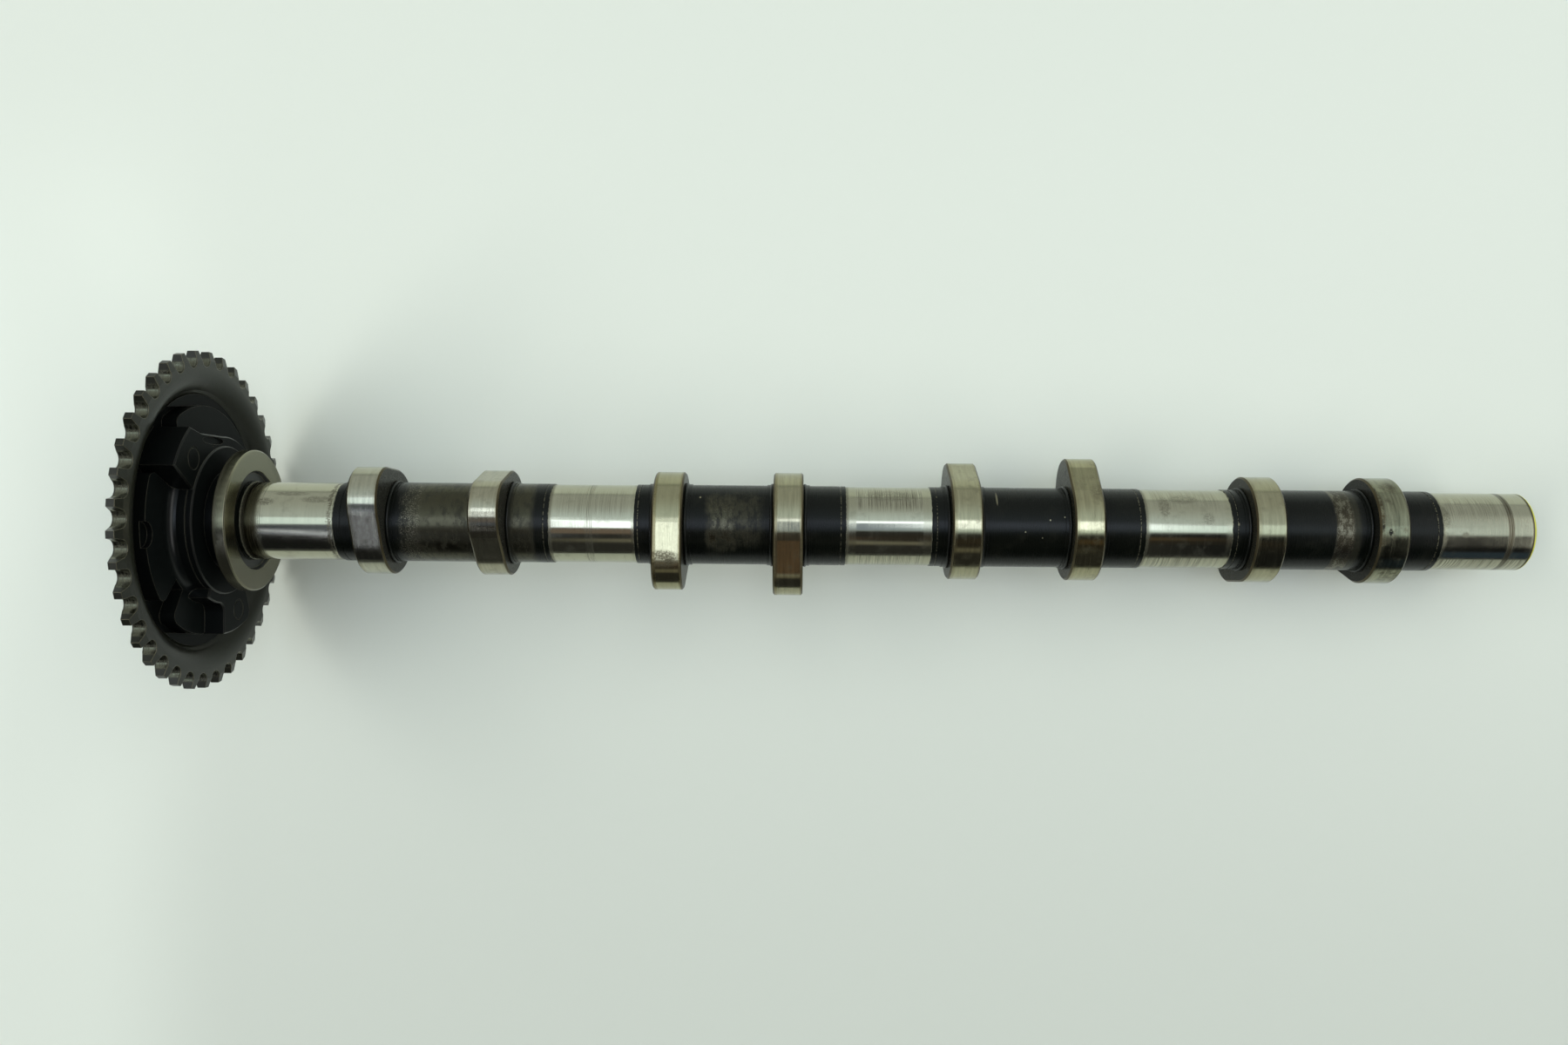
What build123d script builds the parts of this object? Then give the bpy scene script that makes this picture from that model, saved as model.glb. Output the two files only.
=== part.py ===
from build123d import *

import math
import os

# An assembled camshaft for a four-cylinder engine with a chain drive. The shaft lies
# along +X. The origin is on its axis, in the middle plane of the sprocket teeth, and
# the free end points to +X. Lengths are in millimetres. Angles around the shaft are
# in degrees, from +Y towards +Z.

# ---- shaft tube ----
TUBE_RADIUS = 11.85
TUBE_WALL = 3.5
TUBE_DRIVE_END = -9.0        # hidden inside the hub
TUBE_END_BEVEL = 0.6

# ---- cylinders, journals and lobes along the shaft ----
CYLINDERS = 4
CYLINDER_PITCH = 87.0
FIRST_CYLINDER = 71.8        # middle of the first pair of lobes
LOBE_SPACING = 35.1          # between the two lobes of a pair

FIRST_JOURNAL_WIDTH = 27.8
FIRST_JOURNAL_RADIUS = 11.6
JOURNAL_WIDTH = 25.0
JOURNAL_RADIUS = 11.63
JOURNAL_OFFSET = 47.0        # middle of a journal, after the pair before it
END_JOURNAL_OFFSET = 33.1    # start of the last journal, after the middle of the last pair
END_JOURNAL_WIDTH = 27.3
END_JOURNAL_RADIUS = 11.4

# ---- rolled beads that hold each lobe on the tube ----
BEAD_WIDTH = 1.0
BEAD_HEIGHT = 0.6
STEP_WIDTH = 0.9             # the lower step outside the bead
STEP_HEIGHT = 0.25

# ---- turned lines beside the journals ----
LINE_OFFSET = 1.6
LINE_WIDTH = 0.35
LINE_DEPTH = 0.12

# ---- cam lobes ----
LOBE_WIDTH = 8.8
BASE_RADIUS = 15.7
NOSE_REACH = 21.15           # axis to the tip of the nose
NOSE_RADIUS = 10.0
LOBE_BEVEL = 0.5
PAIR_SPREAD = 19.0           # angle between the two lobes of a pair
FIRST_PAIR_ANGLE = 66.5
PAIR_TURNS = (0.0, 90.0, -90.0, 180.0)

# ---- thrust ring ----
THRUST_RADIUS = 21.2
THRUST_WIDTH = 3.8
THRUST_RECESS_RADIUS = 15.0
THRUST_RECESS_DEPTH = 1.3
THRUST_BEVEL = 0.35
JOURNAL_GAP = 0.1            # from the thrust ring to the first journal's ground part

# ---- chain ring ----
TOOTH_COUNT = 38
CHAIN_PITCH = 8.0
ROLLER_RADIUS = 2.5
TIP_RADIUS = 50.65
TIP_LAND = 2.04
FIRST_TOOTH_ANGLE = 9.265
TOOTH_THICKNESS = 3.9
TIP_THICKNESS = 2.3
TOOTH_SHOULDER = 2.9         # from the tips down to the full thickness
POCKET_WIDTH = 3.5           # from the hub's plate to the ring's bore
FLAT_RIM = 2.75              # flat band between the dish and the tooth shoulder
DISH_DEPTH = 3.0             # from the tooth side down to the lip
LIP_WIDTH = 1.2
LIP_DROP = 0.9
RING_SEAT_DEPTH = 2.05       # how far the seat goes back past the tooth side
RING_BACK_WIDTH = 2.1        # flat back, out from the bore
BACK_SLOPE = 2.0             # how far the back widens towards the teeth

# ---- hub ----
HUB_BACK = -6.0
HUB_FLOOR_THICKNESS = 2.0    # under the open pocket
BOSS_RADIUS = 27.0           # round boss behind the hub
BOSS_LENGTH = 5.0
HUB_LEDGE = -1.5
HUB_BEVEL = 0.8
PLATE_RADIUS = 34.4
PLATE_FACE = 0.5
WINDOW_INSET = 0.15          # from the plate's rim in to the open pocket's end walls
WINDOW_TAPER = 5.4
BARREL_RADIUS = 22.3
BARREL_FOOT = 2.2
FOOT_SAG = 0.5               # hollow of the foot below a straight slope
DISC_FACE = 7.1
DISC_BEVEL = 0.35
DISC_GROOVE_FROM_FACE = 1.7
DISC_GROOVE_WIDTH = 0.3
DISC_GROOVE_DEPTH = 0.3
NECK_RADIUS = 15.0
NECK_LENGTH = 5.0            # from the disc to the thrust ring

TOP_PLATE = (-146.0, 33.5)   # start and end angle
NEAR_PLATE = (66.0, 134.5)
LOW_PLATE = (146.0, 181.0)
PLATE_CORNER = 2.6
NOTCH_RADIUS = 3.7
NOTCH_ANGLE = 97.0
NOTCH_DEPTH = 1.6            # below the plate

COLLAR_RADIUS = 25.2         # collar beside the disc, at the height of the pads
COLLAR_ANGLES = (155.0, 382.0)
PAD_DROP = 0.5               # from the disc's face down to the pads
PAD_BEVEL = 0.4
PAD_A_ANGLES = (39.8, 63.9)
PAD_A_FOOT = (8.6, 20.4)
PAD_A_TOP = (25.1, 15.5)
PAD_A_TOP_END = (25.1, 0.0)
PAD_B_ANGLES = (179.0, 206.0)
PAD_B_SIDE = (-28.2, -16.1)
PAD_B_FOOT = (-22.6, -13.6)
PAD_B_WALL_Z = 1.0
PAD_B_CORNER = 3.0
MARK_WIDTH = 0.35
MARK_DEPTH = 0.2
MARK_A = (17.6, 20.2, 3.3)   # y, z and radius of the ring cut in the pad
MARK_B = (-27.6, -8.4, 3.2)
SEAM_ANGLE = 21.5
SEAM_WIDTH = 0.3
SEAM_DEPTH = 0.5
DIMPLE = (23.4, 8.8, 6.2, 1.1)   # y, z, half length along z, half width along y
DIMPLE_DEPTH = 0.7

# ---- derived ----
TUBE_BORE = TUBE_RADIUS - TUBE_WALL
THRUST_BACK = DISC_FACE + NECK_LENGTH
THRUST_FACE = THRUST_BACK + THRUST_WIDTH
LAST_CYLINDER = FIRST_CYLINDER + (CYLINDERS - 1) * CYLINDER_PITCH
END_JOURNAL_START = LAST_CYLINDER + END_JOURNAL_OFFSET
FREE_END = END_JOURNAL_START + END_JOURNAL_WIDTH
HUB_FLOOR = HUB_BACK + HUB_FLOOR_THICKNESS
BOSS_BACK = HUB_BACK - BOSS_LENGTH
PAD_FACE = DISC_FACE - PAD_DROP
PITCH_RADIUS = CHAIN_PITCH / 2 / math.sin(math.pi / TOOTH_COUNT)
RING_BORE_RADIUS = PLATE_RADIUS + POCKET_WIDTH
TOOTH_ANGLE = 360.0 / TOOTH_COUNT
FACE_PLANE = Plane.YZ
CUT_MARGIN = 5.0


def polar(radius, angle):
    """Point at a radius and an angle from +Y towards +Z, as (y, z)."""
    turn = math.radians(angle)
    return radius * math.cos(turn), radius * math.sin(turn)


def bar(radius, start, end):
    """Round bar along the shaft axis."""
    return extrude(FACE_PLANE.offset(start) * Circle(radius), end - start)


def ring(outer, inner, start, end):
    """Plain ring round the shaft axis."""
    return extrude(FACE_PLANE.offset(start) * (Circle(outer) - Circle(inner)), end - start)


def turned(points):
    """Solid turned from a closed outline of (x, radius) points."""
    return revolve(make_face(Polyline(*points, close=True)), Axis.X)


def pie(radius, start, end):
    """Flat sector of a disc, on the face plane."""
    middle = (start + end) / 2
    rim = ThreePointArc(polar(radius, start), polar(radius, middle), polar(radius, end))
    return make_face(Line((0, 0), rim @ 0) + rim + Line(rim @ 1, (0, 0)))


def raised(sketch, start, end):
    """Sketch on the face plane, pulled out along the shaft."""
    return extrude(FACE_PLANE.offset(start) * sketch, end - start)


# ---- shaft ----
def journal_spans():
    """Start, end and radius of each ground journal, from the sprocket to the free end."""
    first_start = THRUST_FACE + JOURNAL_GAP
    spans = [(first_start, first_start + FIRST_JOURNAL_WIDTH, FIRST_JOURNAL_RADIUS)]
    for cylinder in range(CYLINDERS - 1):
        middle = FIRST_CYLINDER + cylinder * CYLINDER_PITCH + JOURNAL_OFFSET
        spans.append((middle - JOURNAL_WIDTH / 2, middle + JOURNAL_WIDTH / 2, JOURNAL_RADIUS))
    spans.append((END_JOURNAL_START, FREE_END, END_JOURNAL_RADIUS))
    return spans


def lobe_places():
    """Middle and nose angle of each lobe, from the sprocket to the free end."""
    places = []
    for cylinder in range(CYLINDERS):
        pair = FIRST_CYLINDER + cylinder * CYLINDER_PITCH
        angle = FIRST_PAIR_ANGLE + PAIR_TURNS[cylinder]
        for side in (-0.5, 0.5):
            places.append((pair + side * LOBE_SPACING, angle + side * PAIR_SPREAD))
    return places


def bead(face, side):
    """Rounded bead and its outer step, beside the lobe face at x = face."""
    crest = TUBE_RADIUS + BEAD_HEIGHT
    foot = TUBE_RADIUS - TUBE_WALL / 2
    edge = face + side * BEAD_WIDTH
    top = ThreePointArc((face, TUBE_RADIUS + BEAD_HEIGHT / 2), (face + side * BEAD_WIDTH / 2, crest),
                        (edge, TUBE_RADIUS + BEAD_HEIGHT / 2))
    outline = top + Polyline(top @ 1, (edge, foot), (face, foot), top @ 0)
    step_end = edge + side * STEP_WIDTH
    step = ring(TUBE_RADIUS + STEP_HEIGHT, foot, min(edge, step_end), max(edge, step_end))
    return revolve(make_face(outline), Axis.X) + step


def camshaft_tube():
    """Tube with its journals ground, its beads rolled up and its turned lines."""
    tube = bar(TUBE_RADIUS, TUBE_DRIVE_END, FREE_END)
    for middle, _ in lobe_places():
        for side in (-1, 1):
            tube += bead(middle + side * LOBE_WIDTH / 2, side)
    spans = journal_spans()
    cut_radius = TUBE_RADIUS + CUT_MARGIN
    for start, end, radius in spans:
        tube -= ring(cut_radius, radius, start, end)
    line_bottom = TUBE_RADIUS - LINE_DEPTH
    line_places = [end + LINE_OFFSET for _, end, _ in spans[:-1]]
    line_places += [start - LINE_OFFSET for start, _, _ in spans[1:]]
    for place in line_places:
        tube -= ring(cut_radius, line_bottom, place - LINE_WIDTH / 2, place + LINE_WIDTH / 2)
    tube -= bar(TUBE_BORE, TUBE_DRIVE_END - CUT_MARGIN, FREE_END + CUT_MARGIN)
    end_edges = tube.faces().sort_by(Axis.X)[-1].edges()
    return chamfer(end_edges, TUBE_END_BEVEL)


def cam_lobe(middle, angle):
    """Lobe with a round base, straight flanks and a round nose, bored for the tube."""
    nose_centre = NOSE_REACH - NOSE_RADIUS
    contact = math.acos((BASE_RADIUS - NOSE_RADIUS) / nose_centre)
    side_y, side_z = math.cos(contact), math.sin(contact)
    nose_start = (nose_centre + NOSE_RADIUS * side_y, -NOSE_RADIUS * side_z)
    nose_end = (nose_start[0], -nose_start[1])
    base_start = (BASE_RADIUS * side_y, BASE_RADIUS * side_z)
    base_end = (base_start[0], -base_start[1])
    nose = ThreePointArc(nose_start, (NOSE_REACH, 0), nose_end)
    base = ThreePointArc(base_start, (-BASE_RADIUS, 0), base_end)
    outline = nose + Line(nose_end, base_start) + base + Line(base_end, nose_start)
    profile = make_face(outline).rotate(Axis.Z, angle)
    lobe = raised(profile, middle - LOBE_WIDTH / 2, middle + LOBE_WIDTH / 2)
    end_faces = lobe.faces().sort_by(Axis.X)
    rims = end_faces[0].edges() + end_faces[-1].edges()
    lobe = chamfer(rims, LOBE_BEVEL)
    return lobe - bar(TUBE_RADIUS, middle - LOBE_WIDTH, middle + LOBE_WIDTH)


def thrust_ring():
    """Ground ring that takes the end load, with a recess round the first journal."""
    back, face, bevel = THRUST_BACK, THRUST_FACE, THRUST_BEVEL
    return turned([
        (back, TUBE_RADIUS),
        (back, THRUST_RADIUS - bevel),
        (back + bevel, THRUST_RADIUS),
        (face - bevel, THRUST_RADIUS),
        (face, THRUST_RADIUS - bevel),
        (face, THRUST_RECESS_RADIUS),
        (face - THRUST_RECESS_DEPTH, THRUST_RECESS_RADIUS - THRUST_RECESS_DEPTH / 2),
        (face - THRUST_RECESS_DEPTH, TUBE_RADIUS),
    ])


# ---- chain ring ----
def tooth_outline():
    """Closed outline of the teeth: a roller seat, a flank, a tip and a flank, repeated."""
    half_gap = TOOTH_ANGLE / 2 - math.degrees(TIP_LAND / 2 / TIP_RADIUS)
    corner_y, corner_z = polar(TIP_RADIUS, half_gap)
    across, out = corner_z, corner_y - PITCH_RADIUS
    reach = math.hypot(across, out)
    seat_turn = math.atan2(out, across) - math.acos(ROLLER_RADIUS / reach)
    seat = (PITCH_RADIUS + ROLLER_RADIUS * math.sin(seat_turn), ROLLER_RADIUS * math.cos(seat_turn))
    edges = []
    for tooth in range(TOOTH_COUNT):
        gap = FIRST_TOOTH_ANGLE + (tooth + 0.5) * TOOTH_ANGLE
        seat_radius, seat_angle = math.hypot(*seat), math.degrees(math.atan2(seat[1], seat[0]))
        first_seat, last_seat = polar(seat_radius, gap - seat_angle), polar(seat_radius, gap + seat_angle)
        first_tip, last_tip = polar(TIP_RADIUS, gap - half_gap), polar(TIP_RADIUS, gap + half_gap)
        next_tip = polar(TIP_RADIUS, gap + TOOTH_ANGLE - half_gap)
        edges.append(Line(first_tip, first_seat))
        edges.append(ThreePointArc(first_seat, polar(PITCH_RADIUS - ROLLER_RADIUS, gap), last_seat))
        edges.append(Line(last_seat, last_tip))
        edges.append(ThreePointArc(last_tip, polar(TIP_RADIUS, gap + TOOTH_ANGLE / 2), next_tip))
    return make_face(Wire(edges))


def dish_radius(width):
    """Radius of the dish's round, which runs into the flat rim without a corner."""
    return (width ** 2 + DISH_DEPTH ** 2) / 2 / DISH_DEPTH


def sprocket_ring():
    """Dished chain ring with its teeth, bored for the hub."""
    half, half_tip = TOOTH_THICKNESS / 2, TIP_THICKNESS / 2
    shoulder = TIP_RADIUS - TOOTH_SHOULDER
    lip_face = half - DISH_DEPTH
    seat_back = -half - RING_SEAT_DEPTH
    back_radius = RING_BORE_RADIUS + RING_BACK_WIDTH
    lip = (lip_face, RING_BORE_RADIUS + LIP_WIDTH)
    dish_rim = (half, shoulder - FLAT_RIM)
    dish = RadiusArc(lip, dish_rim, -dish_radius(dish_rim[1] - lip[1]))
    outline = dish + Polyline(
        dish_rim,
        (half, shoulder),
        (half_tip, TIP_RADIUS),
        (-half_tip, TIP_RADIUS),
        (-half, shoulder),
        (-half, back_radius + BACK_SLOPE),
        (seat_back, back_radius),
        (seat_back, RING_BORE_RADIUS),
        (lip_face - LIP_DROP, RING_BORE_RADIUS),
        lip,
    )
    blank = revolve(make_face(outline), Axis.X)
    return blank & raised(tooth_outline(), seat_back - CUT_MARGIN, half + CUT_MARGIN)


# ---- hub ----
def plate(angles):
    """Flat sector of the plate, with its outer corners rounded."""
    sketch = pie(PLATE_RADIUS, *angles)
    corners = sketch.vertices().filter_by(lambda v: v.center().length > PLATE_RADIUS / 2)
    return fillet(corners, PLATE_CORNER)


def pocket_window():
    """Opening on the +Z side, between the plate and the chain ring."""
    far = RING_BORE_RADIUS
    drop = far * math.tan(math.radians(WINDOW_TAPER))
    top = PLATE_RADIUS - WINDOW_INSET
    window = make_face(Polyline((top, 0), (top - drop, far), (drop - top, far), (-top, 0), close=True))
    return window & Circle(RING_BORE_RADIUS)


def pad_a():
    """Upper pad, from the plate's rim to the collar."""
    start, end = PAD_A_ANGLES
    rim = ThreePointArc(polar(PLATE_RADIUS, start), polar(PLATE_RADIUS, (start + end) / 2),
                        polar(PLATE_RADIUS, end))
    sides = Polyline(rim @ 1, PAD_A_FOOT, (0, 0), PAD_A_TOP_END, PAD_A_TOP, rim @ 0)
    return make_face(rim + sides)


def pad_b():
    """Lower pad, with a straight wall and a round inner corner on its near side."""
    start, end = PAD_B_ANGLES
    rim = ThreePointArc(polar(PLATE_RADIUS, start), polar(PLATE_RADIUS, (start + end) / 2),
                        polar(PLATE_RADIUS, end))
    sides = Polyline(rim @ 1, PAD_B_SIDE, PAD_B_FOOT, (0, 0), (-COLLAR_RADIUS / 2, PAD_B_WALL_Z), rim @ 0)
    return make_face(rim + sides)


def raised_face():
    """Pads and collar, which share one face, with the corner beside pad B rounded."""
    sketch = pie(COLLAR_RADIUS, *COLLAR_ANGLES) + pad_a() + pad_b()
    corner = sketch.vertices().sort_by_distance((-COLLAR_RADIUS, PAD_B_WALL_Z, 0))[0]
    return fillet(corner, PAD_B_CORNER)


def pad_mark(y, z, radius):
    """Plain ring cut in a pad's face."""
    groove = Circle(radius) - Circle(radius - MARK_WIDTH)
    return raised(Pos(y, z) * groove, PAD_FACE - MARK_DEPTH, PAD_FACE + CUT_MARGIN)


def hub_cuts():
    """Cuts made in the finished hub: marks, seam, dimple, disc groove and rim notch."""
    collar = pie(COLLAR_RADIUS, SEAM_ANGLE - 1, SEAM_ANGLE + 1)
    seam = collar & Pos(*polar(COLLAR_RADIUS / 2, SEAM_ANGLE)) * Rot(Z=SEAM_ANGLE) * Rectangle(
        COLLAR_RADIUS, SEAM_WIDTH)
    dimple_y, dimple_z, half_length, half_width = DIMPLE
    dimple = Pos(dimple_y, dimple_z) * Ellipse(half_width, half_length)
    notch = Pos(*polar(PLATE_RADIUS, NOTCH_ANGLE)) * Circle(NOTCH_RADIUS)
    groove_end = DISC_FACE - DISC_GROOVE_FROM_FACE
    return [
        pad_mark(*MARK_A),
        pad_mark(*MARK_B),
        raised(seam, PAD_FACE - SEAM_DEPTH, DISC_FACE) - bar(BARREL_RADIUS, 0, DISC_FACE),
        raised(dimple, PAD_FACE - DIMPLE_DEPTH, DISC_FACE) - bar(BARREL_RADIUS, 0, DISC_FACE),
        raised(notch, PLATE_FACE - NOTCH_DEPTH, PLATE_FACE + CUT_MARGIN),
        ring(BARREL_RADIUS, BARREL_RADIUS - DISC_GROOVE_DEPTH, groove_end - DISC_GROOVE_WIDTH, groove_end),
    ]


def hub_core():
    """Turned middle of the hub: barrel with a round foot, disc and neck."""
    foot_start = (PLATE_FACE, BARREL_RADIUS + BARREL_FOOT)
    foot_end = (PLATE_FACE + BARREL_FOOT, BARREL_RADIUS)
    middle_x = PLATE_FACE + BARREL_FOOT / 2 - FOOT_SAG * math.sqrt(0.5)
    middle_radius = BARREL_RADIUS + BARREL_FOOT / 2 - FOOT_SAG * math.sqrt(0.5)
    foot = ThreePointArc(foot_start, (middle_x, middle_radius), foot_end)
    outline = Polyline(
        foot_end,
        (DISC_FACE - DISC_BEVEL, BARREL_RADIUS),
        (DISC_FACE, BARREL_RADIUS - DISC_BEVEL),
        (DISC_FACE, NECK_RADIUS),
        (THRUST_BACK, NECK_RADIUS),
        (THRUST_BACK, 0),
        (HUB_FLOOR, 0),
        (HUB_FLOOR, BARREL_RADIUS + BARREL_FOOT),
        foot_start,
    )
    return revolve(make_face(foot + outline), Axis.X)


def hub_back():
    """Closed back of the hub, under the pocket, with the boss behind it."""
    disc = chamfer(bar(RING_BORE_RADIUS, HUB_BACK, HUB_FLOOR).edges().sort_by(Axis.X)[0], HUB_BEVEL)
    boss = chamfer(bar(BOSS_RADIUS, BOSS_BACK, HUB_FLOOR).edges().sort_by(Axis.X)[0], HUB_BEVEL)
    return disc + boss


def sprocket_hub():
    """Hub that carries the chain ring, with its plates, pads, collar and pocket."""
    plates = Sketch() + [plate(angles) for angles in (TOP_PLATE, NEAR_PLATE, LOW_PLATE)]
    hub = hub_back()
    hub += raised(Circle(RING_BORE_RADIUS) - pocket_window(), HUB_FLOOR, HUB_LEDGE)
    hub += raised(plates, HUB_FLOOR, PLATE_FACE)
    hub += hub_core()
    pads = raised(raised_face(), HUB_FLOOR, PAD_FACE)
    hub += chamfer(pads.faces().sort_by(Axis.X)[-1].edges(), PAD_BEVEL)
    for cut in hub_cuts():
        hub -= cut
    hub -= bar(TUBE_RADIUS, BOSS_BACK - CUT_MARGIN, THRUST_BACK + CUT_MARGIN)
    return hub


def build():
    """All nodes of the camshaft by name."""
    nodes = {
        "camshaft_tube": camshaft_tube(),
        "thrust_ring": thrust_ring(),
        "sprocket_ring": sprocket_ring(),
        "sprocket_hub": sprocket_hub(),
    }
    for number, (middle, angle) in enumerate(lobe_places(), start=1):
        nodes[f"cam_lobe_{number}"] = cam_lobe(middle, angle)
    return nodes


os.makedirs("parts", exist_ok=True)
for name, solid in build().items():
    export_step(solid, f"parts/{name}.step")
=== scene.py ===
"""Finishes, floor, light and camera for an assembled camshaft with a chain ring.

Lengths are in metres. Patterns are laid out in millimetres along the shaft, from the
middle plane of the sprocket teeth, because that is how the shaft is drawn.
"""

from __future__ import annotations

import logging
import math
from dataclasses import dataclass, field
from enum import Enum
from typing import Any, Union

import bmesh
import bpy
from mathutils import Matrix, Vector

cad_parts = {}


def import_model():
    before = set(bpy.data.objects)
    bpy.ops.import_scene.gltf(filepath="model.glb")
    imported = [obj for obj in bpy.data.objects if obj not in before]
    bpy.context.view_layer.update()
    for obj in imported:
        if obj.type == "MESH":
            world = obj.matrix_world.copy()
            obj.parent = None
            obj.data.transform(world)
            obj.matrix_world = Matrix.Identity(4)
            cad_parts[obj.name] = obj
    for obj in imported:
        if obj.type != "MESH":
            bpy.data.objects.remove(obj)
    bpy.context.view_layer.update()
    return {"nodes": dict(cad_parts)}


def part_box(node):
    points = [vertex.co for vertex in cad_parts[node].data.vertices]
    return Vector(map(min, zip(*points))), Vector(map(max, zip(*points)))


log = logging.getLogger("camshaft")

Colour = tuple[float, float, float]
Place = tuple[float, float, float]
Range = tuple[float, float]
Input = Union["Socket", float, int, Colour]

MM = 0.001
UPPER_SIDE: Range = (0.0, 2.0)  # height in mm over which a mark on the upper side appears
END_FACE: Range = (0.80, 0.95)  # how far a face that counts as an end face turns along the shaft
PATCH_EDGE: Range = (0.55, 1.0)  # where an oval patch fades out, as a part of its half size
# Edges found this way get bare metal: real wear, and a painted highlight where a rounded edge would
# catch the light.
WORN_AND_LIT_EDGE: Range = (0.02, 0.16)  # how far a bevelled normal has turned where an edge is worn
BEVEL_SAMPLES = 4
COAT_ROUGHNESS = 0.28
LAMP: Colour = (3.00, 3.36, 3.98)


# ---------------------------------------------------------------- shader maths
@dataclass(frozen=True)
class Socket:
    """A shader socket that takes part in Python arithmetic on values."""

    graph: Graph
    link: bpy.types.NodeSocket

    def __add__(self, other: Input) -> Socket:
        """Sum of two values."""
        return self.graph.maths("ADD", self, other)

    def __radd__(self, other: Input) -> Socket:
        """Sum with the number on the left."""
        return self.graph.maths("ADD", other, self)

    def __sub__(self, other: Input) -> Socket:
        """Difference of two values."""
        return self.graph.maths("SUBTRACT", self, other)

    def __rsub__(self, other: Input) -> Socket:
        """Difference with the number on the left."""
        return self.graph.maths("SUBTRACT", other, self)

    def __mul__(self, other: Input) -> Socket:
        """Product of two values."""
        return self.graph.maths("MULTIPLY", self, other)

    def __rmul__(self, other: Input) -> Socket:
        """Product with the number on the left."""
        return self.graph.maths("MULTIPLY", other, self)

    def __truediv__(self, other: Input) -> Socket:
        """Quotient of two values."""
        return self.graph.maths("DIVIDE", self, other)

    def __neg__(self) -> Socket:
        """The value with its sign changed."""
        return self.graph.maths("MULTIPLY", self, -1.0)

    def __abs__(self) -> Socket:
        """The value without its sign."""
        return self.graph.maths("ABSOLUTE", self)


class Graph:
    """A node tree with short ways to add its nodes."""

    def __init__(self, tree: bpy.types.NodeTree) -> None:
        """Starts an empty graph in a node tree."""
        self.tree = tree
        tree.nodes.clear()

    def node(
        self,
        kind: str,
        settings: dict[str, Any] | None = None,
        inputs: dict[int | str, Input] | None = None,
        output: int | str = 0,
    ) -> Socket:
        """Adds one node.

        Args:
            kind: The node's type name.
            settings: Attributes set before the sockets, such as an operation.
            inputs: Values or sockets by the input's index or name.
            output: The output to give back, by index or name.

        Returns:
            The chosen output of the new node.
        """
        made = self.tree.nodes.new(kind)
        for name, value in (settings or {}).items():
            setattr(made, name, value)
        for key, value in (inputs or {}).items():
            self._feed(made.inputs[key], value)
        return Socket(self, made.outputs[output]) if made.outputs else Socket(self, made.inputs[0])

    def _feed(self, target: bpy.types.NodeSocket, value: Input) -> None:
        """Links a socket to an input, or sets the input's own value."""
        if isinstance(value, Socket):
            self.tree.links.new(value.link, target)
        elif isinstance(value, tuple) and target.type == "RGBA":
            target.default_value = (*value, 1.0)
        else:
            target.default_value = value

    def maths(self, operation: str, *values: Input) -> Socket:
        """Adds a Math node on values."""
        return self.node("ShaderNodeMath", {"operation": operation}, dict(enumerate(values)))

    def place(self) -> Socket:
        """Object coordinates in millimetres."""
        coordinates = self.node("ShaderNodeTexCoord", output="Object")
        return self.scaled(coordinates, 1 / MM)

    def scaled(self, vector: Socket, amount: float) -> Socket:
        """A vector times a number."""
        return self.node("ShaderNodeVectorMath", {"operation": "SCALE"}, {0: vector, "Scale": amount})

    def stretched(self, vector: Socket, scales: Colour) -> Socket:
        """A vector times a number for each axis."""
        return self.node("ShaderNodeVectorMath", {"operation": "MULTIPLY"}, {0: vector, 1: scales})

    def parts(self, vector: Socket) -> tuple[Socket, Socket, Socket]:
        """The three values of a vector."""
        x = self.node("ShaderNodeSeparateXYZ", inputs={0: vector})
        return x, Socket(self, x.link.node.outputs[1]), Socket(self, x.link.node.outputs[2])

    def joined(self, x: Input, y: Input, z: Input) -> Socket:
        """A vector from three values."""
        return self.node("ShaderNodeCombineXYZ", inputs={0: x, 1: y, 2: z})

    def step(self, value: Socket, low: float, high: float) -> Socket:
        """0 below low, 1 above high, and smooth between."""
        return self.node(
            "ShaderNodeMapRange",
            {"interpolation_type": "SMOOTHSTEP"},
            {"Value": value, "From Min": low, "From Max": high},
        )

    def band(self, value: Socket, start: float, end: float, soft: float) -> Socket:
        """1 between start and end, 0 outside, with soft edges."""
        risen = self.step(value, start - soft, start + soft)
        return risen * (1 - self.step(value, end - soft, end + soft))

    def noise(self, vector: Socket, scale: float, detail: float = 3.0, rough: float = 0.55) -> Socket:
        """Noise of about 0 to 1 with its middle at 0.5."""
        return self.node(
            "ShaderNodeTexNoise",
            inputs={"Vector": vector, "Scale": scale, "Detail": detail, "Roughness": rough},
        )

    def blend(self, factor: Input, first: Input, second: Input, mode: str = "MIX") -> Socket:
        """Mixes two colours."""
        settings = {"data_type": "RGBA", "blend_type": mode, "clamp_factor": True}
        return self.node("ShaderNodeMix", settings, {0: factor, 6: first, 7: second}, output=2)

    def most(self, *masks: Socket) -> Socket:
        """The greatest of several masks."""
        result = masks[0]
        for mask in masks[1:]:
            result = self.maths("MAXIMUM", result, mask)
        return result

    def length(self, first: Socket, second: Socket) -> Socket:
        """Length of a vector with two parts at right angles."""
        return self.maths("SQRT", first * first + second * second)

    def facing(self) -> Socket:
        """How far the surface faces along the shaft, from -1 to 1."""
        return self.parts(self.node("ShaderNodeNewGeometry", output="Normal"))[0]

    def clamped(self, value: Socket) -> Socket:
        """The value kept between 0 and 1."""
        return self.node("ShaderNodeClamp", inputs={0: value})


# ---------------------------------------------------------------- finishes
@dataclass(frozen=True)
class Look:
    """Colour and gloss of one kind of bare or coated metal."""

    colour: Colour
    metallic: float
    roughness: float


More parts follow.
